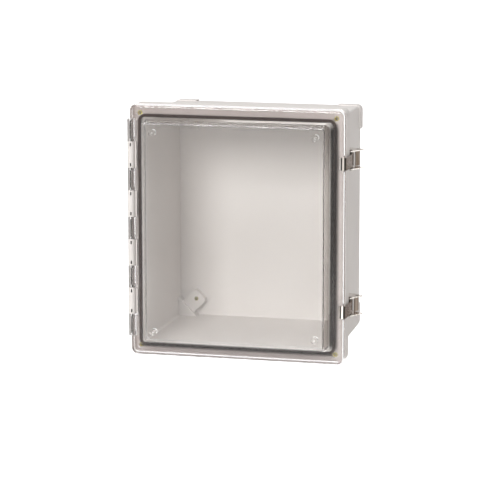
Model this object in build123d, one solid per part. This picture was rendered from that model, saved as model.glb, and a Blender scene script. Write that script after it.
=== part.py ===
"""Hinged polycarbonate wall enclosure: a drafted grey box with a deep flange, a clear cover with a raised
window on a knuckled pin hinge, a foamed gasket, brass inserts and two stainless draw latches.

The frame's origin is the centre of the wall plane, on the rear faces of the four corner pads.
+Z is up, +X is to the right as one faces the cover, and -Y points out of the wall towards the viewer.
All sizes are in millimetres.
"""

from build123d import *
import math
import os

# Cover rim and base flange, seen from the front
frame_width = 327.0
frame_height = 380.0
frame_corner_radius = 10.0
rim_edge_radius = 4.7

# Depths: the rim's front and the box's back from the wall, then what lies between
rim_distance = 211.5
pad_standoff = 1.5
rim_depth = 11.7
seam_gap = 0.3
flange_depth = 25.0
flange_plate = 4.0
flange_skirt = 3.5

# Base box, inside the flange by these overhangs
side_overhang = 14.7
end_overhang = 14.5
body_wall = 4.0
body_draft = 1.0
body_corner_bevel = 1.6
cavity_corner_bevel = 3.0
back_edge_bevel = 2.0

# Cover, with its raised window inside the frame by these margins
cover_plate = 4.0
cover_skirt = 3.2
skirt_edge_break = 0.6
window_side_margin = 25.0
window_end_margin = 24.5
window_raise = 22.5
window_draft = 8.0
window_wall = 3.5
window_corner_radius = 4.0
window_edge_radius = 2.2
window_foot_bevel = 2.0

# Gasket, its groove in the cover and the tongue of the base that presses on it
gasket_side_inset = 15.0
gasket_end_inset = 16.5
gasket_line_radius = 9.0
gasket_width = 4.5
gasket_height = 4.0
groove_rib = 1.2
groove_rib_height = 3.5
tongue_width = 2.4

# Hinge along the left side
hinge_inset = 1.5
hinge_end_margin = 42.0
hinge_centre_z = 3.0
knuckle_radius = 6.2
cover_knuckles = 5
cover_knuckle_share = 0.446
knuckle_gap = 0.5
pin_radius = 1.6
pin_clearance = 0.06
pin_end_recess = 2.0
swing_clearance = 0.3
cover_slot_share = 0.8
slot_width = 2.0
base_window_length = 5.0
base_window_inset = 4.8
leaf_reach = 9.2
leaf_rise = 1.7
knuckle_web_reach = 13.0

# Hexagonal brass inserts: half the width across flats, bore radius and length of each kind
cover_insert = (3.5, 2.1, 12.0)
cover_insert_side_inset = 14.0
cover_insert_end_inset = 13.5
cover_hole_radius = 2.7
cover_boss_size = 12.5
cover_boss_wall = 4.0
panel_insert = (3.2, 2.1, 9.0)
panel_insert_side_inset = 35.8
panel_insert_end_inset = 35.0
panel_boss_height = 12.0
panel_boss_width = 25.0
panel_boss_reach = 10.0
panel_boss_radius = 5.0
wall_insert = (4.0, 2.55, 13.0)
wall_insert_side_inset = 16.3
wall_insert_end_inset = 17.0
insert_floor = 1.0

# Corner pads at the back, outside, and the diagonal fills inside that hold the wall inserts
pad_size = 36.0
upper_pad_stand = (3.0, 1.8)
lower_pad_stand = (1.2, 1.2)
pad_depth = 18.5
pad_corner_radius = 8.0
pad_bevel = 2.5
fill_leg = 44.1
fill_height = 16.0

# Ribs in the channel behind the flange
rib_thickness = 2.5
rib_depth = 17.0
side_ribs = 4
side_rib_margin = 40.0
end_ribs = 3
end_rib_margin = 73.5

# Small bosses inside the cover's window, for an inner label frame or swing panel
window_boss_inset = 15.0
window_boss_radius = 5.0
window_boss_height = 8.0
window_boss_bore = 2.0

# Latches: how far each lies from the frame's end, and the flat pads that carry them
upper_latch_inset = 79.0
lower_latch_inset = 80.0
latch_pad_stand = 1.7
latch_pad_half = 16.0
latch_pad_radius = 3.0
latch_pad_start = 39.0
latch_pad_end = 80.0

# Latch bracket: a channel with two ears; x runs out from the pad, y back from the rim's front
sheet = 1.5
ear_outer = 14.2
bracket_start = 40.0
bracket_end = 78.0
ear_tip_reach = 29.5
ear_tip_y = 63.0
ear_tip_radius = 1.5
ear_nose_reach = 15.0
padlock_reach = 21.0
padlock_y = 62.5
padlock_radius = 3.2

# Latch pivots, placed in the same way
pivot_reach = 12.7
pivot_y = 47.0
link_reach = 11.5
link_y = 61.0
rivet_radius = 1.5
rivet_head_radius = 3.0
rivet_head = 1.2
joint_clearance = 0.06

# Latch lever
lever_sheet = 1.2
lever_side_play = 0.3
lever_web_reach = 16.7
lever_web_start = 67.0
lever_tail_reach = 19.3
lever_tail_y = 79.5
lever_nose_radius = 5.0

# Latch hook, placed from the rim's side
hook_sheet = 1.4
hook_half = 9.5
hook_eye_radius = 3.1
hook_side_gap = 1.5
hook_lip_length = 5.8
hook_roll_radius = 1.3
hook_bend_radius = 3.0
hook_lip_gap = 0.4
hook_jog_y = 42.0
recess_depth = 1.0
recess_half = 12.0
recess_lip_room = 2.2

# Hexagon screws that hold each bracket to its pad
screw_y = (49.0, 71.0)
screw_radius = 2.0
screw_length = 9.5
screw_head_half = 3.5
screw_head = 2.2
screw_boss_size = 10.0
screw_boss_height = 6.5

# Places that follow from the sizes above
body_width = frame_width - 2 * side_overhang
body_height = frame_height - 2 * end_overhang
window_width = frame_width - 2 * window_side_margin
window_height = frame_height - 2 * window_end_margin
gasket_line_width = frame_width - 2 * gasket_side_inset
gasket_line_height = frame_height - 2 * gasket_end_inset
box_back = -pad_standoff
rim_front = -rim_distance
plate_rear = rim_front + cover_plate
skirt_rear = rim_front + rim_depth
flange_front = skirt_rear + seam_gap
flange_rear = flange_front + flange_depth
window_front = rim_front - window_raise
gasket_rear = plate_rear + gasket_height
hinge_x = hinge_inset - frame_width / 2
hinge_y = rim_front + knuckle_radius
knuckle_pitch = (frame_height - 2 * hinge_end_margin) / (cover_knuckles - 1)
cover_knuckle_length = cover_knuckle_share * knuckle_pitch
cover_slot_length = cover_slot_share * cover_knuckle_length
base_knuckle_length = knuckle_pitch - cover_knuckle_length - 2 * knuckle_gap
hinge_top = hinge_centre_z + (knuckle_pitch * (cover_knuckles - 1) + cover_knuckle_length) / 2
cavity_back = box_back - body_wall
panel_boss_face = cavity_back - panel_boss_height
cover_insert_x = frame_width / 2 - cover_insert_side_inset
cover_insert_z = frame_height / 2 - cover_insert_end_inset
wall_insert_x = body_width / 2 - wall_insert_side_inset
wall_insert_z = body_height / 2 - wall_insert_end_inset
panel_insert_x = body_width / 2 - panel_insert_side_inset
panel_insert_z = body_height / 2 - panel_insert_end_inset
window_boss_x = window_width / 2 - window_boss_inset
window_boss_z = window_height / 2 - window_boss_inset
latch_heights = {"upper": frame_height / 2 - upper_latch_inset, "lower": lower_latch_inset - frame_height / 2}
latch_pad_x = body_width / 2 + latch_pad_stand
ear_tip_x = latch_pad_x + ear_tip_reach
ear_nose_x = latch_pad_x + ear_nose_reach
padlock_x = latch_pad_x + padlock_reach
pivot_x = latch_pad_x + pivot_reach
link_x = latch_pad_x + link_reach
lever_web_x = latch_pad_x + lever_web_reach
lever_tail_x = latch_pad_x + lever_tail_reach
lever_outer = ear_outer - sheet - lever_side_play
hook_side_x = frame_width / 2 + hook_side_gap
hook_lip_x = frame_width / 2 - hook_lip_length
CORNERS = [(sx, sz) for sx in (-1, 1) for sz in (-1, 1)]


def facing(y):
    """The plane at depth y that faces the viewer: its x runs along X, its y along Z."""
    return Plane(origin=(0, y, 0), x_dir=(1, 0, 0), z_dir=(0, -1, 0))


def slab(sketch, rear, front, taper=0.0):
    """A sketch of the front view, extruded from the rear depth to the front depth."""
    return extrude(facing(rear) * sketch, amount=rear - front, taper=taper)


def tall(sketch, low, high):
    """A sketch of the plan view, in X and Y, extruded from the low to the high Z."""
    return extrude(Plane.XY.offset(low) * sketch, amount=high - low, dir=(0, 0, 1))


def outline(*points):
    """A closed polygon, wound anticlockwise so that every extrusion runs the same way."""
    pairs = zip(points, points[1:] + points[:1])
    turn = sum(a[0] * b[1] - b[0] * a[1] for a, b in pairs)
    return Polygon(*(points if turn > 0 else points[::-1]), align=None)


def ring(width, height, radius, breadth, rear, front):
    """A rounded rectangular ring whose centreline is width by height with that corner radius."""
    half = breadth / 2
    outside = RectangleRounded(width + breadth, height + breadth, radius + half)
    inside = RectangleRounded(width - breadth, height - breadth, radius - half)
    return slab(outside - inside, rear, front)


def rod(x, z, radius, rear, front):
    """A cylinder along Y."""
    return slab(Pos(x, z) * Circle(radius), rear, front)


def post(x, y, radius, low, high):
    """A cylinder along Z."""
    return tall(Pos(x, y) * Circle(radius), low, high)


def beam(y, z, radius, low, high):
    """A cylinder along X."""
    return Pos(low, y, z) * Rot(0, 90, 0) * Cylinder(
        radius, high - low, align=(Align.CENTER, Align.CENTER, Align.MIN)
    )


def hexagon(x, z, half, rear, front):
    """A hexagonal bar along Y, half wide from its centre to each flat."""
    return slab(Pos(x, z) * RegularPolygon(half, 6, major_radius=False), rear, front)


def spread(count, size, margin):
    """Evenly spaced places along a size, with a margin at both ends."""
    span = size - 2 * margin
    return [span * (i / (count - 1) - 0.5) for i in range(count)]


def from_rim(y):
    """A depth that is measured back from the front of the cover's rim."""
    return rim_front + y


def cover_knuckle_spans():
    """Low and high Z of each cover knuckle, from the top down."""
    tops = [hinge_top - i * knuckle_pitch for i in range(cover_knuckles)]
    return [(top - cover_knuckle_length, top) for top in tops]


def base_knuckle_spans():
    """Low and high Z of each base knuckle, which fill the spaces between the cover's."""
    lows = [low for low, _ in cover_knuckle_spans()[:-1]]
    return [(low - knuckle_gap - base_knuckle_length, low - knuckle_gap) for low in lows]


def pin_bore(low, high):
    """The hole for the hinge pin through one knuckle."""
    return post(hinge_x, hinge_y, pin_radius + pin_clearance, low - 1, high + 1)


def pin_window(low, high):
    """A narrow cored opening in a knuckle's front face that reaches the pin."""
    depth = knuckle_radius + 1
    return Pos(hinge_x, hinge_y - depth / 2, (low + high) / 2) * Box(slot_width, depth, high - low)


def drafted_box(shrink, rear, front, corner_bevel):
    """The base's drafted box, smaller by shrink on each side, between two depths, with bevelled corners."""
    narrowing = (rear - flange_front) * math.tan(math.radians(body_draft))
    width = body_width - 2 * (narrowing + shrink)
    height = body_height - 2 * (narrowing + shrink)
    box = slab(Rectangle(width, height), rear, front, taper=-body_draft)
    corners = [e for e in box.edges() if abs(e.tangent_at(0.5).Y) > 0.9]
    return chamfer(corners, corner_bevel)


def corner_fill(sx, sz):
    """The diagonal block across an inner back corner, which holds a wall insert."""
    x, z = body_width / 2, body_height / 2
    triangle = outline((sx * (x - fill_leg), sz * z), (sx * x, sz * (z - fill_leg)), (sx * x, sz * z))
    return slab(triangle, box_back, cavity_back - fill_height)


def panel_boss(sx, sz):
    """A raised diagonal pad for a back panel's screw, which runs on into the corner fill."""
    outward = math.hypot(wall_insert_x - panel_insert_x, wall_insert_z - panel_insert_z)
    length = panel_boss_reach + outward
    pad = Pos(outward - length / 2, 0) * RectangleRounded(length, panel_boss_width, panel_boss_radius)
    turn = math.degrees(math.atan2(sz, sx))
    place = Pos(sx * panel_insert_x, sz * panel_insert_z) * Rot(0, 0, turn)
    return slab(place * pad, cavity_back + 1, panel_boss_face)


def corner_pad(sx, sz):
    """A foot block on an outer back corner, rounded there, with its forward edges bevelled."""
    narrowing = (box_back - flange_front) * math.tan(math.radians(body_draft))
    side_stand, end_stand = upper_pad_stand if sz > 0 else lower_pad_stand
    x = sx * (body_width / 2 - narrowing + side_stand)
    z = sz * (body_height / 2 - narrowing + end_stand)
    inner_x, inner_z = x - sx * pad_size, z - sz * pad_size
    plan = outline((inner_x, inner_z), (x, inner_z), (x, z), (inner_x, z))
    corner = plan.vertices().sort_by_distance((x, z, 0))[0]
    block = slab(fillet(corner, pad_corner_radius), 0, -pad_depth)
    return chamfer(block.faces().sort_by(Axis.Y)[0].edges(), pad_bevel)


def flange():
    """The base's front plate with its deep skirt, hollow behind."""
    outside = RectangleRounded(frame_width, frame_height, frame_corner_radius)
    inside = RectangleRounded(
        frame_width - 2 * flange_skirt, frame_height - 2 * flange_skirt, frame_corner_radius - flange_skirt
    )
    block = slab(outside, flange_rear, flange_front)
    block = chamfer(block.faces().sort_by(Axis.Y)[0].edges(), skirt_edge_break)
    return block - slab(inside, flange_rear, flange_front + flange_plate)


def channel_ribs():
    """Stiffening ribs across the channel between the box and the flange's skirt."""
    rear = flange_front + flange_plate + rib_depth
    front = flange_front + 1
    across = frame_width / 2 - flange_skirt / 2
    up = frame_height / 2 - flange_skirt / 2
    side = (across + body_width / 2) / 2
    end = (up + body_height / 2) / 2
    plan = Sketch()
    for sx in (-1, 1):
        for z in spread(side_ribs, frame_height, side_rib_margin):
            plan += Pos(sx * side, z) * Rectangle(across - body_width / 2 + body_wall, rib_thickness)
    for sz in (-1, 1):
        for x in spread(end_ribs, frame_width, end_rib_margin):
            plan += Pos(x, sz * end) * Rectangle(rib_thickness, up - body_height / 2 + body_wall)
    return slab(plan, rear, front)


def base_knuckle(low, high):
    """A base knuckle: a round barrel, a gusset down to the flange's skirt and a low leaf beside the cover."""
    skirt_x = -frame_width / 2
    gusset = outline(
        (hinge_x - knuckle_radius, hinge_y),
        (skirt_x, flange_front + knuckle_web_reach),
        (skirt_x + flange_skirt, flange_front + knuckle_web_reach),
        (hinge_x + knuckle_radius, flange_front + flange_plate / 2),
        (hinge_x + knuckle_radius, hinge_y),
    )
    barrel = Pos(hinge_x, hinge_y) * Circle(knuckle_radius)
    rise = flange_front + 1 - hinge_y + leaf_rise
    middle = Pos(hinge_x + leaf_reach / 2, flange_front + 1 - rise / 2)
    leaf = (Pos(hinge_x, hinge_y) * Circle(leaf_reach)) & (middle * Rectangle(leaf_reach, rise))
    return tall(barrel + gusset + leaf, low, high)


def latch_pad(z):
    """The flat pad on the right wall for a latch, and the blind bosses inside for its screws."""
    depth = latch_pad_end - latch_pad_start
    plan = RectangleRounded(depth, 2 * latch_pad_half, latch_pad_radius)
    plane = Plane(origin=(latch_pad_x, 0, 0), x_dir=(0, 1, 0), z_dir=(1, 0, 0))
    pad = extrude(plane * Pos(from_rim(latch_pad_start) + depth / 2, z) * plan, amount=-body_wall - 1)
    inner = body_width / 2 - body_wall
    for y in screw_y:
        length = latch_pad_x - 1 - inner + screw_boss_height
        boss = Box(length, screw_boss_size, screw_boss_size, align=(Align.MAX, Align.CENTER, Align.CENTER))
        pad += Pos(latch_pad_x - 1, from_rim(y), z) * boss
    return pad


def base_body():
    """The moulded grey box with its flange, knuckles, pads and bosses."""
    box = drafted_box(0, box_back, flange_front, body_corner_bevel)
    box = chamfer(box.faces().sort_by(Axis.Y)[-1].edges(), back_edge_bevel)
    body = box + flange() + channel_ribs()
    for sx, sz in CORNERS:
        body += corner_pad(sx, sz)
        boss = Pos(sx * cover_insert_x, sz * cover_insert_z) * Rectangle(cover_boss_size, cover_boss_size)
        body += slab(boss, flange_front + cover_insert[2] + cover_boss_wall, flange_front + 1)
    cavity = drafted_box(body_wall, cavity_back, flange_front - 1, cavity_corner_bevel)
    for sx, sz in CORNERS:
        cavity -= corner_fill(sx, sz)
        cavity -= panel_boss(sx, sz)
    pads = [latch_pad(z) for z in latch_heights.values()]
    body = body + pads - (cavity - pads)
    body += ring(
        gasket_line_width, gasket_line_height, gasket_line_radius, tongue_width, flange_front + 1, gasket_rear
    )
    for low, high in base_knuckle_spans():
        body += base_knuckle(low, high)
        body -= pin_bore(low, high)
        inset = base_window_inset - base_window_length / 2
        body -= pin_window(low + inset, low + inset + base_window_length)
        body -= pin_window(high - inset - base_window_length, high - inset)
    for low, high in cover_knuckle_spans():
        room = knuckle_radius + swing_clearance
        body -= post(hinge_x, hinge_y, room, low - knuckle_gap, high + knuckle_gap)
    for sx, sz in CORNERS:
        half, _, length = cover_insert
        x, z = sx * cover_insert_x, sz * cover_insert_z
        body -= hexagon(x, z, half, flange_front + length, flange_front - 1)
        half, _, length = panel_insert
        x, z = sx * panel_insert_x, sz * panel_insert_z
        body -= hexagon(x, z, half, panel_boss_face + length, panel_boss_face - 1)
        half, _, length = wall_insert
        body -= hexagon(sx * wall_insert_x, sz * wall_insert_z, half, 1, -length)
    for z in latch_heights.values():
        for y in screw_y:
            tip = latch_pad_x + sheet - screw_length
            body -= beam(from_rim(y), z, screw_radius, tip, latch_pad_x + 1)
    return body


def cover_knuckle(low, high):
    """A cover knuckle: a round barrel joined to the rim's front plate."""
    web_x = hinge_x + knuckle_radius + 2
    web = Pos((hinge_x + web_x) / 2, (rim_front + hinge_y + 2) / 2) * Rectangle(
        web_x - hinge_x, hinge_y + 2 - rim_front
    )
    barrel = Pos(hinge_x, hinge_y) * Circle(knuckle_radius)
    return tall(barrel + web, low, high)


def latch_recess(z):
    """The shallow seat in the rim for a latch's hook."""
    wide = 3 * rim_edge_radius
    left = hook_lip_x - recess_lip_room
    front = Pos(left + wide / 2, rim_front + recess_depth - wide / 2, z) * Box(wide, wide, 2 * recess_half)
    edge = frame_width / 2
    side = Pos(edge - recess_depth + wide / 2, rim_front, z) * Box(wide, 4 * rim_depth, 2 * recess_half)
    return front + side


def cover():
    """The clear cover: rim, raised window, hinge knuckles, gasket groove and small bosses."""
    rim = slab(RectangleRounded(frame_width, frame_height, frame_corner_radius), skirt_rear, rim_front)
    rim = fillet(rim.faces().sort_by(Axis.Y)[0].edges(), rim_edge_radius)
    rim = chamfer(rim.faces().sort_by(Axis.Y)[-1].edges(), skirt_edge_break)
    flare = window_raise * math.tan(math.radians(window_draft))
    foot = RectangleRounded(
        window_width + 2 * flare, window_height + 2 * flare, window_corner_radius + flare
    )
    window = slab(foot, rim_front, window_front, taper=window_draft)
    window = fillet(window.faces().sort_by(Axis.Y)[0].edges(), window_edge_radius)
    shell = rim + window
    foot_edges = [
        e
        for e in shell.edges()
        if abs(e.center().Y - rim_front) < 0.01
        and abs(e.center().X) < window_width / 2 + flare + 0.1
        and abs(e.center().Z) < window_height / 2 + flare + 0.1
    ]
    shell = chamfer(foot_edges, window_foot_bevel)

    inner_x = frame_width - 2 * cover_skirt
    inner_z = frame_height - 2 * cover_skirt
    pocket = RectangleRounded(inner_x, inner_z, frame_corner_radius - cover_skirt)
    shell -= slab(pocket, skirt_rear + 1, plate_rear)
    opening = flare + cover_plate * math.tan(math.radians(window_draft)) - window_wall
    hollow = RectangleRounded(
        window_width + 2 * opening, window_height + 2 * opening, window_corner_radius + opening
    )
    shell -= slab(hollow, plate_rear, window_front + window_wall, taper=window_draft)

    line = (gasket_width + groove_rib) / 2
    for side in (-1, 1):
        shell += ring(
            gasket_line_width + 2 * side * line,
            gasket_line_height + 2 * side * line,
            gasket_line_radius + side * line,
            groove_rib,
            plate_rear + groove_rib_height,
            plate_rear - 1,
        )
    for sx, sz in CORNERS:
        x, z = sx * window_boss_x, sz * window_boss_z
        inner_face = window_front + window_wall
        shell += rod(x, z, window_boss_radius, inner_face + window_boss_height, inner_face - 1)
        shell -= rod(x, z, window_boss_bore, inner_face + window_boss_height + 1, inner_face)
        x, z = sx * cover_insert_x, sz * cover_insert_z
        shell -= rod(x, z, cover_hole_radius, plate_rear + 1, rim_front - 1)
    for low, high in base_knuckle_spans():
        notch_x = hinge_x + leaf_reach + swing_clearance
        reach = notch_x + frame_width / 2
        tall_gap = high - low + 2 * knuckle_gap
        notch = Box(reach, 4 * rim_depth, tall_gap, align=(Align.MAX, Align.CENTER, Align.CENTER))
        shell -= Pos(notch_x, rim_front, (low + high) / 2) * notch
    for low, high in cover_knuckle_spans():
        shell += cover_knuckle(low, high)
        shell -= pin_bore(low, high)
        middle = (low + high) / 2
        shell -= pin_window(middle - cover_slot_length / 2, middle + cover_slot_length / 2)
    for z in latch_heights.values():
        shell -= latch_recess(z)
    return shell


def gasket():
    """The foamed seal in the cover's groove."""
    return ring(
        gasket_line_width, gasket_line_height, gasket_line_radius, gasket_width, gasket_rear, plate_rear
    )


def hinge_pin():
    """One stainless rod through every knuckle."""
    top = hinge_top - pin_end_recess
    bottom = 2 * hinge_centre_z - top
    return post(hinge_x, hinge_y, pin_radius, bottom, top)


def inserts(x, z, face, facing_front, kind):
    """Four hexagonal brass inserts with blind bores, whose mouths lie on one face."""
    half, bore, length = kind
    group = []
    for sx, sz in CORNERS:
        if facing_front:
            body = hexagon(sx * x, sz * z, half, face + length, face)
            hole = rod(sx * x, sz * z, bore, face + length - insert_floor, face - 1)
        else:
            body = hexagon(sx * x, sz * z, half, face, face - length)
            hole = rod(sx * x, sz * z, bore, face + 1, face - length + insert_floor)
        group.append(body - hole)
    return Compound(children=group)


def bracket(z):
    """The latch's fixed channel: a base plate on the pad and two ears with a padlock hole."""
    ear = outline(
        (latch_pad_x, from_rim(bracket_start)),
        (ear_nose_x, from_rim(bracket_start)),
        (ear_tip_x, from_rim(ear_tip_y)),
        (ear_tip_x - 3, from_rim(ear_tip_y + 5)),
        (latch_pad_x + 6, from_rim(bracket_end)),
        (latch_pad_x, from_rim(bracket_end)),
    )
    ear = fillet(ear.vertices().group_by(Axis.X)[-1] + ear.vertices().group_by(Axis.X)[-2], ear_tip_radius)
    ear -= Pos(pivot_x, from_rim(pivot_y)) * Circle(rivet_radius)
    ear -= Pos(padlock_x, from_rim(padlock_y)) * Circle(padlock_radius)
    plate = Rectangle(sheet, bracket_end - bracket_start)
    plate = Pos(latch_pad_x + sheet / 2, from_rim((bracket_start + bracket_end) / 2)) * plate
    part = tall(plate, z - ear_outer, z + ear_outer)
    for side in (-1, 1):
        inner, outer = z + side * (ear_outer - sheet), z + side * ear_outer
        part += tall(ear, min(inner, outer), max(inner, outer))
    for y in screw_y:
        part -= beam(from_rim(y), z, screw_radius, latch_pad_x - 1, latch_pad_x + sheet + 1)
    return part


def lever(z):
    """The latch's handle: two cheeks on the pivot rivets, joined behind the link by a flared web."""
    nose = lever_nose_radius
    tip_x, tip_y = lever_web_x, from_rim(lever_web_start)
    cheek = make_hull(
        [
            *(Pos(pivot_x, from_rim(pivot_y)) * Circle(nose)).edges(),
            *(Pos(link_x, from_rim(link_y)) * Circle(nose - 1)).edges(),
            *outline((tip_x, tip_y), (tip_x - 1, tip_y + 6), (tip_x - 5, tip_y + 6)).edges(),
        ]
    )
    cheek -= Pos(pivot_x, from_rim(pivot_y)) * Circle(rivet_radius + joint_clearance)
    cheek -= Pos(link_x, from_rim(link_y)) * Circle(rivet_radius)
    start = Vector(lever_web_x - lever_sheet, from_rim(lever_web_start))
    bend = Vector(lever_web_x - lever_sheet, from_rim(lever_web_start + 5))
    tail = Vector(lever_tail_x, from_rim(lever_tail_y))
    path = Line(start, bend) + Line(bend, tail)
    web = offset(path, lever_sheet / 2, kind=Kind.ARC, side=Side.BOTH)
    web = make_face(web.edges()) if not isinstance(web, Sketch) else web
    part = tall(web, z - lever_outer, z + lever_outer)
    for side in (-1, 1):
        inner, outer = z + side * (lever_outer - lever_sheet), z + side * lever_outer
        part += tall(cheek, min(inner, outer), max(inner, outer))
    return part


def hook(z):
    """The draw hook: an eye on the link pin, a jogged strap past the flange and a lip over the rim."""
    lip_y = rim_front + recess_depth - hook_lip_gap - hook_sheet / 2
    side = hook_side_x + hook_sheet / 2
    path = FilletPolyline(
        (hook_lip_x, lip_y),
        (side, lip_y),
        (side, from_rim(hook_jog_y)),
        (link_x + hook_eye_radius - hook_sheet / 2, from_rim(link_y)),
        radius=hook_bend_radius,
    )
    strap = trace(path, hook_sheet)
    strap += Pos(hook_lip_x, lip_y + hook_sheet / 2 - hook_roll_radius) * Circle(hook_roll_radius)
    eye = Pos(link_x, from_rim(link_y)) * Circle(hook_eye_radius)
    bore = Pos(link_x, from_rim(link_y)) * Circle(rivet_radius + joint_clearance)
    return tall(strap + eye - bore, z - hook_half, z + hook_half)


def link_pin(z):
    """The pin that carries the hook's eye between the lever's cheeks."""
    return post(link_x, from_rim(link_y), rivet_radius, z - lever_outer, z + lever_outer)


def pivot_rivets(z):
    """Two stub rivets from the bracket's ears into the lever's cheeks."""
    x, y = pivot_x, from_rim(pivot_y)
    rivets = []
    for side in (-1, 1):
        inner, outer = z + side * (lever_outer - lever_sheet), z + side * ear_outer
        tip = outer + side * rivet_head
        shank = post(x, y, rivet_radius, min(inner, outer), max(inner, outer))
        head = post(x, y, rivet_head_radius, min(outer, tip), max(outer, tip))
        rivets.append(shank + head)
    return Compound(children=rivets)


def bracket_screws(z):
    """Two hexagon-headed screws that hold the bracket to its pad."""
    seat = latch_pad_x + sheet
    screws = []
    for y in screw_y:
        shank = beam(from_rim(y), z, screw_radius, seat - screw_length, seat)
        plane = Plane(origin=(seat, from_rim(y), z), x_dir=(0, 1, 0), z_dir=(1, 0, 0))
        head = extrude(plane * RegularPolygon(screw_head_half, 6, major_radius=False), amount=screw_head)
        screws.append(shank + head)
    return Compound(children=screws)


def build():
    """Every node of the enclosure by name."""
    nodes = {
        "base_body": base_body(),
        "cover": cover(),
        "gasket": gasket(),
        "hinge_pin": hinge_pin(),
        "cover_screw_inserts": inserts(cover_insert_x, cover_insert_z, flange_front, True, cover_insert),
        "panel_inserts": inserts(panel_insert_x, panel_insert_z, panel_boss_face, True, panel_insert),
        "wall_inserts": inserts(wall_insert_x, wall_insert_z, 0, False, wall_insert),
    }
    for name, z in latch_heights.items():
        nodes[f"latch_bracket_{name}"] = bracket(z)
        nodes[f"latch_lever_{name}"] = lever(z)
        nodes[f"latch_hook_{name}"] = hook(z)
        nodes[f"latch_link_pin_{name}"] = link_pin(z)
        nodes[f"latch_pivot_rivets_{name}"] = pivot_rivets(z)
        nodes[f"latch_screws_{name}"] = bracket_screws(z)
    return nodes


os.makedirs("parts", exist_ok=True)
for name, shape in build().items():
    export_step(shape, f"parts/{name}.step")
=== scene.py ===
"""Looks for a hinged polycarbonate wall enclosure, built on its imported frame.

Metres throughout. The origin is the centre of the wall inserts, +Z is up and -Y faces the viewer.
"""

import math

import bpy
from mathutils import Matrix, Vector

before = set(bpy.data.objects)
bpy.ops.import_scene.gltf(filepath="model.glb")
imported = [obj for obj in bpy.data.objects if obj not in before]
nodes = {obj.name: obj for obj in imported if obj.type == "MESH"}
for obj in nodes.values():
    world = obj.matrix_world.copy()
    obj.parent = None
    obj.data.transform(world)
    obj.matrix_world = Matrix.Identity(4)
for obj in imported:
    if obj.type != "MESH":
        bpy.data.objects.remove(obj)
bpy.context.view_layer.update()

# Edges that turn by more than this stay crisp
CREASE = math.radians(35)

POLYCARBONATE_IOR = 1.58

# Finishes, as linear colours
BOX_GREY = (0.648, 0.610, 0.584, 1)
BOX_GREY_DEEP = (0.613, 0.575, 0.549, 1)
CLEAR_TINT = (0.955, 0.968, 0.972, 1)
CLEAR_TINT_DEEP = (0.940, 0.953, 0.957, 1)
CLEAR_GLOSS = (0.720, 0.700, 0.690, 1)
SEAL_BROWN = (0.050, 0.034, 0.028, 1)
SEAL_WORN = (0.080, 0.056, 0.047, 1)
# Steel tones; on the sheet steel they are stretched into upright streaks, partly brushed grain and
# partly painted reflection bands
STEEL_BRIGHT = (0.950, 0.915, 0.880, 1)
STEEL_DULL_AND_DARK_REFLECTION = (0.520, 0.475, 0.430, 1)
PIN_DARK = (0.300, 0.285, 0.275, 1)
PIN_WORN = (0.420, 0.400, 0.390, 1)
BRASS_BRIGHT = (0.440, 0.380, 0.110, 1)
BRASS_DULL = (0.240, 0.205, 0.060, 1)

# Painted shade by place on the clear cover: on its walls and their feet, over its knuckles, and
# beside the seal's edges
END_WALL_SHADE = (0.990, 0.980, 0.970, 1)
LEFT_WALL_SHADE = (0.720, 0.700, 0.685, 1)
RIGHT_WALL_SHADE = (0.990, 0.975, 0.965, 1)
WALL_FOOT_SHADE = (0.580, 0.555, 0.540, 1)
RIGHT_FOOT_SHADE = (0.016, 0.012, 0.010, 1)
TOP_FOOT_SHADE = (0.750, 0.735, 0.725, 1)
KNUCKLE_SHADE = (0.740, 0.725, 0.715, 1)
SEAL_EDGE_SHADOW = (0.200, 0.170, 0.160, 1)

# What the clear cover leaves of the light that it lets in
WINDOW_PASSING = (0.985, 0.982, 0.975, 1)
RIM_PASSING = (0.700, 0.655, 0.645, 1)
RIM_EDGE_PASSING = (0.990, 0.965, 0.955, 1)
RIM_LOW_PASSING = (0.590, 0.535, 0.530, 1)
WALL_PASSING = (0.080, 0.070, 0.065, 1)

# Painted shade in the hinge's slots and in the inserts' bores, and painted dark lines on the hooks'
# front plates and outer bends
SLOT_SHADE = (0.020, 0.018, 0.017, 1)
THREAD_SHADE = (0.050, 0.040, 0.018, 1)
PLATE_LINE_SHADE = (0.020, 0.017, 0.015, 1)
BEND_SHADE = (0.240, 0.215, 0.195, 1)

# Two numbers are where an effect starts and where it is full, or where it is still full and where it
# ends. Four numbers are a band: its start, where it is full, where it is still full, and its end.

# On the cover, from its middle to either side or end
WINDOW_SIDE = (0.1385, 0.1445)
WINDOW_END = (0.1655, 0.1715)
WALLS_SIDE = (0.1480, 0.1490)
WALLS_END = (0.1750, 0.1760)
OFF_ENDS = (0.1600, 0.1720)
TOP_CORNER = (0.118, 0.132)
LOW_CORNER = (0.146, 0.152)

# On the cover, along X
KNUCKLES = (-0.1550, -0.1540)
RIGHT_HALF = (-0.001, 0.001)
RIGHT_FOOT = (0.1390, 0.1440, 0.1460, 0.1490)
RIGHT_OF_SEAL = (0.1485, 0.1495, 0.1510, 0.1565)
RIM_EDGE = (0.153, 0.158)

# On the cover, along Y and Z
SIDE_FOOT = (-0.22275, -0.2115)
TOP_FOOT = (0.1668, 0.1680, 0.1720, 0.1730)
BELOW_SEAL = (-0.1790, -0.1755, -0.1740, -0.1725)
RIM_LOW = (-0.176, -0.170)

# The hinge's slots: their middle along X, from there to their sides, and their depth along Y
SLOT_MIDDLE = -0.162
SLOT_SIDE = (0.00115, 0.00125)
SLOT_DEPTH = (-0.2112, -0.2110, -0.2035, -0.2033)

# The hooks' painted dark lines, along X: one on the flat front plate, one on the outer bend
HOOK_PLATE_LINE = (0.1589, 0.1592, 0.1603, 0.1606)
HOOK_BEND = (0.1638, 0.1641, 0.1659, 0.1662)

# How far a surface faces along an axis, where 1 is straight
WALL_FACING = (0.16, 0.35)
THICK_FACING = (0.25, 0.8)
SIDEWAYS_FACING = (0.5, 0.9)
SLOT_WALL_FACING = (0.4, 0.6)
BORE_FACING = (0.3, 0.6)

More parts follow.
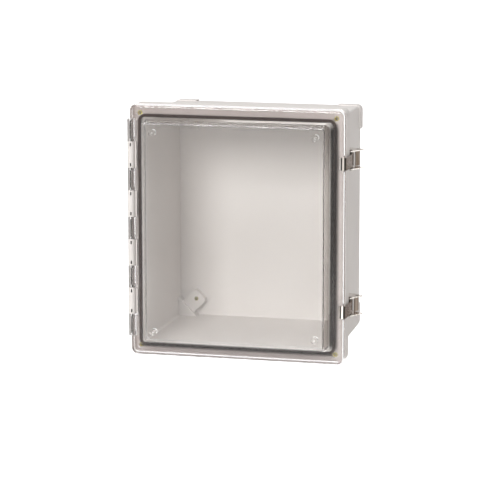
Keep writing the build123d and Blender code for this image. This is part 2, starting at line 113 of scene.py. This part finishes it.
# What a group's colour is until a material gives it one
MID_GREY = (0.5, 0.5, 0.5, 1)

# Noise levels at which the clouds and the grain start and are full, and their fineness
CLOUD_LEVELS = (0.35, 0.65)
CLOUD_DETAIL = 4
GRAIN_LEVELS = (0.3, 0.7)
GRAIN_DETAIL = 5
BUMP_STRENGTH = 0.5

# The bounce at which light that is caught inside the clear cover's edges is let out straight
TRAPPED_BOUNCE = (4.5, 5.0)

# Camera, from a fit of the photograph's edges
CAMERA_AZIMUTH = math.radians(13.84)
CAMERA_ELEVATION = math.radians(10.45)
CAMERA_DISTANCE = 3.717
CAMERA_AIM = Vector((0.0068, -0.1515, -0.0336))
CAMERA_LENS = 177.5
CAMERA_SENSOR = 36
CAMERA_REACH = 100

# Studio: the floor, and the light that its lit surface lacks to show as white near the box
FLOOR_HEIGHT = -0.62
FLOOR_HALF_SIZE = 12.0
FLOOR_TONE = (0.85, 0.85, 0.85, 1)
FLOOR_ROUGHNESS = 0.9
FLOOR_FILL = 0.62
FLOOR_FILL_PLACES = (1.0, 4.0)

# Studio: the sky, which brightens towards overhead and towards behind the box, each from the first
# place and strength to the second
SKY_WHITE = (1, 1, 1, 1)
SKY_OVERHEAD_PLACES = (0.0, 0.9)
SKY_OVERHEAD_STRENGTHS = (0.19, 0.65)
SKY_BEHIND_PLACES = (0.1, 0.9)
SKY_BEHIND_STRENGTHS = (0.0, 0.40)

# Studio: the dark cards, and the share of their half width at which the far tone is reached
CARD_BROWN = (0.46, 0.40, 0.345, 1)
CARD_BROWN_DEEP = (0.16, 0.125, 0.105, 1)
CARD_BLACK = (0.03, 0.025, 0.02, 1)
CARD_FAR = 0.3

# Where the cards and the lamps are aimed
LATCH_SIDE = (0.165, -0.2, 0.0)
BOX_MIDDLE = (0, -0.1, 0)
BOX_LEFT = (-0.1, -0.15, 0)
BOX_RIGHT = (0.1, -0.15, 0)


def smooth(name):
    """Smooth shading that keeps the crisp edges of one CAD piece."""
    mesh = nodes[name].data
    mesh.polygons.foreach_set("use_smooth", [True] * len(mesh.polygons))
    mesh.set_sharp_from_angle(angle=CREASE)


def effect_group(name, inputs, outputs):
    """An empty shader node group with these sockets: (name, kind, default)."""
    group = bpy.data.node_groups.new(name, "ShaderNodeTree")
    for label, kind, default in inputs:
        socket = group.interface.new_socket(label, in_out="INPUT", socket_type=kind)
        socket.default_value = default
    for label, kind in outputs:
        group.interface.new_socket(label, in_out="OUTPUT", socket_type=kind)
    return group, group.nodes.new("NodeGroupInput"), group.nodes.new("NodeGroupOutput")


def placed(tree, group, **values):
    """A group placed in a material with its own values."""
    node = tree.nodes.new("ShaderNodeGroup")
    node.node_tree = group
    for socket, value in values.items():
        node.inputs[socket.replace("_", " ")].default_value = value
    return node


def ramp(tree, source, low, high, first, last):
    """A value that goes from first to last as the source goes from low to high."""
    level = tree.nodes.new("ShaderNodeMapRange")
    level.inputs["From Min"].default_value = low
    level.inputs["From Max"].default_value = high
    level.inputs["To Min"].default_value = first
    level.inputs["To Max"].default_value = last
    tree.links.new(source, level.inputs["Value"])
    return level.outputs["Result"]


def rise(tree, source, low, high):
    """A value that goes from 0 to 1 as the source goes from low to high."""
    return ramp(tree, source, low, high, 0.0, 1.0)


def fall(tree, source, low, high):
    """A value that goes from 1 to 0 as the source goes from low to high."""
    return ramp(tree, source, low, high, 1.0, 0.0)


def maths(tree, operation, *values):
    """A Math node's result; each value is a number or another node's output."""
    node = tree.nodes.new("ShaderNodeMath")
    node.operation = operation
    for socket, value in zip(node.inputs, values):
        if isinstance(value, float):
            socket.default_value = value
        else:
            tree.links.new(value, socket)
    return node.outputs["Value"]


def larger(tree, one, other):
    """The larger of two values."""
    return maths(tree, "MAXIMUM", one, other)


def product(tree, one, other):
    """Two values multiplied."""
    return maths(tree, "MULTIPLY", one, other)


def size_of(tree, value):
    """A value without its sign."""
    return maths(tree, "ABSOLUTE", value)


def band(tree, source, start, full, still_full, end):
    """A value of 1 from full to still_full, and of 0 before start and past end."""
    return product(tree, rise(tree, source, start, full), fall(tree, source, still_full, end))


def blended(tree, factor, one, other):
    """A colour between two, each of them a plain colour or another node's output."""
    mix = tree.nodes.new("ShaderNodeMix")
    mix.data_type = "RGBA"
    tree.links.new(factor, mix.inputs["Factor"])
    for label, colour in (("A", one), ("B", other)):
        if isinstance(colour, tuple):
            mix.inputs[label].default_value = colour
        else:
            tree.links.new(colour, mix.inputs[label])
    return mix.outputs["Result"]


def either(tree, factor, one, other):
    """A shader that is one where the factor is 0, and the other where it is 1."""
    mix = tree.nodes.new("ShaderNodeMixShader")
    tree.links.new(factor, mix.inputs["Fac"])
    tree.links.new(one, mix.inputs[1])
    tree.links.new(other, mix.inputs[2])
    return mix.outputs["Shader"]


def along(tree, output):
    """The three parts of the object's own place or facing."""
    source = tree.nodes.new("ShaderNodeTexCoord")
    parts = tree.nodes.new("ShaderNodeSeparateXYZ")
    tree.links.new(source.outputs[output], parts.inputs["Vector"])
    return parts.outputs


def lay_over(tree, mask, colour):
    """Lays a colour over a material's base colour where the mask is 1."""
    base = tree.nodes["Principled BSDF"].inputs["Base Color"]
    tree.links.new(blended(tree, mask, base.links[0].from_socket, colour), base)


def stretched_noise(group, scales, detail):
    """Noise by the object's own place, stretched along any axis by its three scales."""
    place = group.nodes.new("ShaderNodeTexCoord")
    stretch = group.nodes.new("ShaderNodeVectorMath")
    stretch.operation = "MULTIPLY"
    noise = group.nodes.new("ShaderNodeTexNoise")
    noise.inputs["Scale"].default_value = 1.0
    noise.inputs["Detail"].default_value = detail
    group.links.new(place.outputs["Object"], stretch.inputs[0])
    group.links.new(scales, stretch.inputs[1])
    group.links.new(stretch.outputs["Vector"], noise.inputs["Vector"])
    return noise.outputs["Fac"]


def cloud_tone_group():
    """Two tones of one finish, mixed in soft clouds."""
    group, inlet, outlet = effect_group(
        "cloud_tone",
        [
            ("Tone", "NodeSocketColor", MID_GREY),
            ("Other Tone", "NodeSocketColor", MID_GREY),
            ("Cloud Scale", "NodeSocketVector", (1.0, 1.0, 1.0)),
        ],
        [("Color", "NodeSocketColor")],
    )
    cloud = stretched_noise(group, inlet.outputs["Cloud Scale"], CLOUD_DETAIL)
    level = rise(group, cloud, *CLOUD_LEVELS)
    tone = blended(group, level, inlet.outputs["Tone"], inlet.outputs["Other Tone"])
    group.links.new(tone, outlet.inputs["Color"])
    return group


def grain_group():
    """Fine surface relief, and roughness that follows it."""
    group, inlet, outlet = effect_group(
        "surface_grain",
        [
            ("Grain Scale", "NodeSocketVector", (1.0, 1.0, 1.0)),
            ("Smoothest", "NodeSocketFloat", 0.0),
            ("Roughest", "NodeSocketFloat", 1.0),
        ],
        [("Height", "NodeSocketFloat"), ("Roughness", "NodeSocketFloat")],
    )
    grain = stretched_noise(group, inlet.outputs["Grain Scale"], GRAIN_DETAIL)
    rough = group.nodes.new("ShaderNodeMapRange")
    rough.inputs["From Min"].default_value, rough.inputs["From Max"].default_value = GRAIN_LEVELS
    group.links.new(grain, rough.inputs["Value"])
    group.links.new(inlet.outputs["Smoothest"], rough.inputs["To Min"])
    group.links.new(inlet.outputs["Roughest"], rough.inputs["To Max"])
    group.links.new(grain, outlet.inputs["Height"])
    group.links.new(rough.outputs["Result"], outlet.inputs["Roughness"])
    return group


def slot_shade_group():
    """Darkens the inside of the hinge's slots, where little light comes, or only their left walls."""
    group, inlet, outlet = effect_group(
        "slot_shade",
        [
            ("Tone", "NodeSocketColor", MID_GREY),
            ("Shade", "NodeSocketColor", MID_GREY),
            ("Only Left Walls", "NodeSocketFloat", 0.0),
        ],
        [("Color", "NodeSocketColor")],
    )
    place = along(group, "Object")
    aside = size_of(group, maths(group, "SUBTRACT", place["X"], SLOT_MIDDLE))
    inside = product(group, fall(group, aside, *SLOT_SIDE), band(group, place["Y"], *SLOT_DEPTH))
    left_walls = rise(group, along(group, "Normal")["X"], *SLOT_WALL_FACING)
    everywhere = maths(group, "SUBTRACT", 1.0, inlet.outputs["Only Left Walls"])
    mask = product(group, inside, larger(group, left_walls, everywhere))
    tone = blended(group, mask, inlet.outputs["Tone"], inlet.outputs["Shade"])
    group.links.new(tone, outlet.inputs["Color"])
    return group


CLOUD_TONE = cloud_tone_group()
SURFACE_GRAIN = grain_group()
SLOT_SHADING = slot_shade_group()


def finish(name, tones, cloud_scale, grain_scale, roughness, relief, **shader):
    """A material of two clouded tones with fine relief; shader names plain values on its sockets."""
    material = bpy.data.materials.new(name)
    material.use_nodes = True
    tree = material.node_tree
    surface = tree.nodes["Principled BSDF"]
    for socket, value in shader.items():
        surface.inputs[socket.replace("_", " ")].default_value = value
    tone, other_tone = tones
    clouds = placed(tree, CLOUD_TONE, Tone=tone, Other_Tone=other_tone, Cloud_Scale=cloud_scale)
    smoothest, roughest = roughness
    grain = placed(
        tree, SURFACE_GRAIN, Grain_Scale=grain_scale, Smoothest=smoothest, Roughest=roughest
    )
    bump = tree.nodes.new("ShaderNodeBump")
    bump.inputs["Strength"].default_value = BUMP_STRENGTH
    bump.inputs["Distance"].default_value = relief
    tree.links.new(clouds.outputs["Color"], surface.inputs["Base Color"])
    tree.links.new(grain.outputs["Roughness"], surface.inputs["Roughness"])
    tree.links.new(grain.outputs["Height"], bump.inputs["Height"])
    tree.links.new(bump.outputs["Normal"], surface.inputs["Normal"])
    return material


def shade_slots(material, only_left_walls=0.0):
    """Puts the slots' shade between a material's colour and its shader."""
    tree = material.node_tree
    base = tree.nodes["Principled BSDF"].inputs["Base Color"]
    shading = placed(tree, SLOT_SHADING, Shade=SLOT_SHADE, Only_Left_Walls=only_left_walls)
    tree.links.new(base.links[0].from_socket, shading.inputs["Tone"])
    tree.links.new(shading.outputs["Color"], base)


def shade_bores(material):
    """Paints shade on the walls of the inserts' threaded bores, where little light reaches."""
    tree = material.node_tree
    lay_over(tree, fall(tree, size_of(tree, along(tree, "Normal")["Y"]), *BORE_FACING), THREAD_SHADE)


def shade_hooks(material):
    """Paints two upright dark lines on the hooks: one on the flat front plate, and a dark reflection
    on the outer bend.
    """
    tree = material.node_tree
    place = along(tree, "Object")
    lay_over(tree, band(tree, place["X"], *HOOK_PLATE_LINE), PLATE_LINE_SHADE)
    lay_over(tree, band(tree, place["X"], *HOOK_BEND), BEND_SHADE)


def light_let_in(tree, place, facing):
    """What the cover leaves of the light that it lets in: least in the window's thick walls."""
    side = size_of(tree, place["X"])
    end = size_of(tree, place["Z"])
    rim = blended(tree, fall(tree, place["Z"], *RIM_LOW), RIM_PASSING, RIM_LOW_PASSING)
    rim = blended(tree, rise(tree, place["X"], *RIM_EDGE), rim, RIM_EDGE_PASSING)
    past_window = larger(tree, rise(tree, side, *WINDOW_SIDE), rise(tree, end, *WINDOW_END))
    faces = blended(tree, past_window, WINDOW_PASSING, rim)
    within = product(tree, fall(tree, side, *WALLS_SIDE), fall(tree, end, *WALLS_END))
    thick = product(tree, within, fall(tree, size_of(tree, facing["Y"]), *THICK_FACING))
    return blended(tree, thick, faces, WALL_PASSING)


def paint_cover_shade(tree, place, facing):
    """Paints shade on the cover at its knuckles, at the feet of its walls, beside the seal and on its
    walls.
    """
    side = size_of(tree, place["X"])
    # Painted shade over the knuckles
    lay_over(tree, fall(tree, place["X"], *KNUCKLES), KNUCKLE_SHADE)
    off_ends = fall(tree, size_of(tree, place["Z"]), *OFF_ENDS)
    # A painted dark line along the foot of the window's right wall
    lay_over(tree, product(tree, off_ends, band(tree, place["X"], *RIGHT_FOOT)), RIGHT_FOOT_SHADE)
    off_corners = fall(tree, side, *TOP_CORNER)
    # Painted shade along the foot of the window's top wall
    lay_over(tree, product(tree, band(tree, place["Z"], *TOP_FOOT), off_corners), TOP_FOOT_SHADE)
    # Painted shadow right of the seal and below it
    right_of_seal = product(tree, band(tree, place["X"], *RIGHT_OF_SEAL), off_ends)
    off_corners = fall(tree, side, *LOW_CORNER)
    below_seal = product(tree, band(tree, place["Z"], *BELOW_SEAL), off_corners)
    lay_over(tree, larger(tree, right_of_seal, below_seal), SEAL_EDGE_SHADOW)

    # Painted shade on the walls, most on the left side walls and towards the walls' feet
    right = rise(tree, place["X"], *RIGHT_HALF)
    side_wall = blended(tree, right, LEFT_WALL_SHADE, RIGHT_WALL_SHADE)
    side_wall = blended(tree, rise(tree, place["Y"], *SIDE_FOOT), side_wall, WALL_FOOT_SHADE)
    sideways = rise(tree, size_of(tree, facing["X"]), *SIDEWAYS_FACING)
    walls = blended(tree, sideways, END_WALL_SHADE, side_wall)
    lay_over(tree, fall(tree, size_of(tree, facing["Y"]), *WALL_FACING), walls)


def clear_polycarbonate():
    """Clear moulding: it bends what is seen through it, but lets lamplight and bounced light in."""
    material = finish(
        "clear_polycarbonate",
        tones=(CLEAR_TINT, CLEAR_TINT_DEEP),
        cloud_scale=(7, 7, 7),
        grain_scale=(9, 9, 9),
        roughness=(0.02, 0.045),
        relief=0.00004,
        Transmission_Weight=1.0,
        IOR=POLYCARBONATE_IOR,
        Specular_Tint=CLEAR_GLOSS,
    )
    tree = material.node_tree
    place = along(tree, "Object")
    facing = along(tree, "Normal")
    # Painted shade on the cover's knuckles, walls, wall feet and beside the seal
    paint_cover_shade(tree, place, facing)

    passing = tree.nodes.new("ShaderNodeBsdfTransparent")
    tree.links.new(light_let_in(tree, place, facing), passing.inputs["Color"])
    open_air = tree.nodes.new("ShaderNodeBsdfTransparent")
    ray = tree.nodes.new("ShaderNodeLightPath").outputs
    surface = tree.nodes["Principled BSDF"].outputs["BSDF"]
    let_in = larger(tree, ray["Is Shadow Ray"], ray["Is Diffuse Ray"])
    shader = either(tree, let_in, surface, passing.outputs["BSDF"])
    trapped = rise(tree, ray["Ray Depth"], *TRAPPED_BOUNCE)
    shader = either(tree, trapped, shader, open_air.outputs["BSDF"])
    tree.links.new(shader, tree.nodes["Material Output"].inputs["Surface"])
    return material


BOX = finish(
    "box_polycarbonate",
    tones=(BOX_GREY, BOX_GREY_DEEP),
    cloud_scale=(9, 9, 9),
    grain_scale=(1800, 1800, 1800),
    roughness=(0.36, 0.46),
    relief=0.00003,
    IOR=POLYCARBONATE_IOR,
    Specular_IOR_Level=0.25,
)
CLEAR = clear_polycarbonate()
SEAL = finish(
    "gasket_foam",
    tones=(SEAL_BROWN, SEAL_WORN),
    cloud_scale=(60, 60, 60),
    grain_scale=(900, 900, 900),
    roughness=(0.75, 0.95),
    relief=0.0003,
    Specular_IOR_Level=0.1,
)
# Sheet steel: tones stretched into upright streaks, partly brushed grain and partly painted
# reflection bands
SHEET_STEEL, HOOK_STEEL = (
    finish(
        name,
        tones=(STEEL_BRIGHT, STEEL_DULL_AND_DARK_REFLECTION),
        cloud_scale=(420, 420, 14),
        grain_scale=(2600, 2600, 90),
        roughness=(0.05, 0.14),
        relief=0.00002,
        Metallic=1.0,
    )
    for name in ("stainless_sheet", "stainless_hook")
)
ROD_STEEL = finish(
    "stainless_rod",
    tones=(STEEL_BRIGHT, STEEL_DULL_AND_DARK_REFLECTION),
    cloud_scale=(70, 70, 70),
    grain_scale=(3000, 3000, 200),
    roughness=(0.12, 0.24),
    relief=0.00002,
    Metallic=1.0,
)
PIN_STEEL = finish(
    "dark_steel_pin",
    tones=(PIN_DARK, PIN_WORN),
    cloud_scale=(90, 90, 90),
    grain_scale=(3000, 3000, 300),
    roughness=(0.45, 0.6),
    relief=0.00002,
    Metallic=1.0,
)
BRASS = finish(
    "turned_brass",
    tones=(BRASS_BRIGHT, BRASS_DULL),
    cloud_scale=(300, 300, 300),
    grain_scale=(2500, 400, 2500),
    roughness=(0.18, 0.34),
    relief=0.00003,
    Metallic=1.0,
)
shade_slots(BOX)
shade_slots(CLEAR, only_left_walls=1.0)
shade_slots(PIN_STEEL)
shade_bores(BRASS)
shade_hooks(HOOK_STEEL)

WORN_BY = {
    "base_body": BOX,
    "cover": CLEAR,
    "gasket": SEAL,
    "hinge_pin": PIN_STEEL,
    "cover_screw_inserts": BRASS,
    "panel_inserts": BRASS,
    "wall_inserts": BRASS,
}
for side in ("upper", "lower"):
    WORN_BY[f"latch_hook_{side}"] = HOOK_STEEL
    for piece in ("bracket", "lever", "screws"):
        WORN_BY[f"latch_{piece}_{side}"] = SHEET_STEEL
    for piece in ("link_pin", "pivot_rivets"):
        WORN_BY[f"latch_{piece}_{side}"] = ROD_STEEL

for name, material in WORN_BY.items():
    smooth(name)
    slots = nodes[name].data.materials
    slots.clear()
    slots.append(material)


def seen_white(tree):
    """A value of 1 for the rays that show the background: straight, through glass or off metal."""
    ray = tree.nodes.new("ShaderNodeLightPath")
    straight = larger(tree, ray.outputs["Is Camera Ray"], ray.outputs["Is Transmission Ray"])
    return larger(tree, straight, ray.outputs["Is Glossy Ray"])


def flat_sheet(name, half_width, half_height, level):
    """A flat sheet across its own X and Y, in the scene."""
    x, y = half_width, half_height
    corners = [(-x, -y, level), (x, -y, level), (x, y, level), (-x, y, level)]
    mesh = bpy.data.meshes.new(name)
    mesh.from_pydata(corners, [], [(0, 1, 2, 3)])
    sheet = bpy.data.objects.new(name, mesh)
    bpy.context.scene.collection.objects.link(sheet)
    return sheet


def aim(thing, place, target):
    """Puts a lamp or a card in its place, turned to its target."""
    thing.location = place
    thing.rotation_euler = (Vector(target) - Vector(place)).to_track_quat("-Z", "Y").to_euler()


def studio_floor():
    """A wide pale floor well below the box. It shows as white, apart from the box's shadow."""
    floor = flat_sheet("floor", FLOOR_HALF_SIZE, FLOOR_HALF_SIZE, FLOOR_HEIGHT)
    material = bpy.data.materials.new("pale_floor")
    material.use_nodes = True
    tree = material.node_tree
    join = tree.links.new
    surface = tree.nodes["Principled BSDF"]
    surface.inputs["Base Color"].default_value = FLOOR_TONE
    surface.inputs["Roughness"].default_value = FLOOR_ROUGHNESS
    surface.inputs["Specular IOR Level"].default_value = 0.0
    place = tree.nodes.new("ShaderNodeTexCoord")
    away = tree.nodes.new("ShaderNodeVectorMath")
    away.operation = "LENGTH"
    join(place.outputs["Object"], away.inputs[0])
    lacking = ramp(tree, away.outputs["Value"], *FLOOR_FILL_PLACES, FLOOR_FILL, 1.0)
    glow = tree.nodes.new("ShaderNodeEmission")
    join(product(tree, lacking, seen_white(tree)), glow.inputs["Strength"])
    both = tree.nodes.new("ShaderNodeAddShader")
    join(surface.outputs["BSDF"], both.inputs[0])
    join(glow.outputs["Emission"], both.inputs[1])
    join(both.outputs["Shader"], tree.nodes["Material Output"].inputs["Surface"])
    floor.data.materials.append(material)


def dark_card(name, place, width, height, near_tone, far_tone):
    """A card that only gloss reflects, set beside the latches to give their steel dark lines."""
    card = flat_sheet(name, width / 2, height / 2, 0)
    aim(card, place, LATCH_SIDE)
    card.visible_camera = False
    card.visible_diffuse = False
    card.visible_transmission = False
    card.visible_shadow = False
    material = bpy.data.materials.new(name)
    material.use_nodes = True
    tree = material.node_tree
    glow = tree.nodes.new("ShaderNodeEmission")
    across = rise(tree, along(tree, "Object")["X"], -width / 2, CARD_FAR * width / 2)
    tree.links.new(blended(tree, across, near_tone, far_tone), glow.inputs["Color"])
    tree.links.new(glow.outputs["Emission"], tree.nodes["Material Output"].inputs["Surface"])
    card.data.materials.append(material)


def soft_lamp(name, place, target, width, height, watts):
    """A rectangular studio lamp aimed at a point."""
    light = bpy.data.lights.new(name, "AREA")
    light.shape = "RECTANGLE"
    light.size = width
    light.size_y = height
    light.energy = watts
    lamp = bpy.data.objects.new(name, light)
    aim(lamp, place, target)
    bpy.context.scene.collection.objects.link(lamp)


def studio_sky():
    """White to the camera, glass and metal. Otherwise a dim room, brighter overhead and behind."""
    world = bpy.data.worlds.new("studio")
    world.use_nodes = True
    tree = world.node_tree
    direction = along(tree, "Generated")
    overhead = ramp(tree, direction["Z"], *SKY_OVERHEAD_PLACES, *SKY_OVERHEAD_STRENGTHS)
    behind = ramp(tree, direction["Y"], *SKY_BEHIND_PLACES, *SKY_BEHIND_STRENGTHS)
    back = tree.nodes["Background"]
    back.inputs["Color"].default_value = SKY_WHITE
    strength = larger(tree, seen_white(tree), larger(tree, overhead, behind))
    tree.links.new(strength, back.inputs["Strength"])
    bpy.context.scene.world = world


def camera():
    """The photograph's viewpoint."""
    lens = bpy.data.cameras.new("viewpoint")
    lens.sensor_width = CAMERA_SENSOR
    lens.lens = CAMERA_LENS
    lens.clip_end = CAMERA_REACH
    viewer = bpy.data.objects.new("viewpoint", lens)
    back = Vector(
        (
            math.sin(CAMERA_AZIMUTH) * math.cos(CAMERA_ELEVATION),
            -math.cos(CAMERA_AZIMUTH) * math.cos(CAMERA_ELEVATION),
            math.sin(CAMERA_ELEVATION),
        )
    )
    viewer.location = CAMERA_AIM + back * CAMERA_DISTANCE
    viewer.rotation_euler = (-back).to_track_quat("-Z", "Y").to_euler()
    bpy.context.scene.collection.objects.link(viewer)
    bpy.context.scene.camera = viewer


studio_floor()
studio_sky()
dark_card(
    "rear_card",
    place=(1.026, 0.774, -0.15),
    width=1.6,
    height=1.3,
    near_tone=CARD_BROWN,
    far_tone=CARD_BROWN_DEEP,
)
dark_card(
    "front_card",
    place=(0.896, -0.882, -0.05),
    width=2.0,
    height=1.1,
    near_tone=CARD_BLACK,
    far_tone=CARD_BLACK,
)
soft_lamp("key", (-0.5, -2.8, 1.12), BOX_MIDDLE, width=0.9, height=0.9, watts=66)
soft_lamp("fill", (1.7, -2.3, 0.3), BOX_MIDDLE, width=0.9, height=0.9, watts=5)
soft_lamp("overhead", (-0.45, -0.4, 2.1), BOX_MIDDLE, width=1.3, height=0.5, watts=11)
soft_lamp("left_strip", (-2.2, -0.9, 0.2), BOX_LEFT, width=0.25, height=1.8, watts=1)
soft_lamp("right_strip", (2.3, -0.65, 0.0), BOX_RIGHT, width=0.22, height=2.0, watts=14)
camera()
bpy.context.scene.view_settings.view_transform = "Standard"
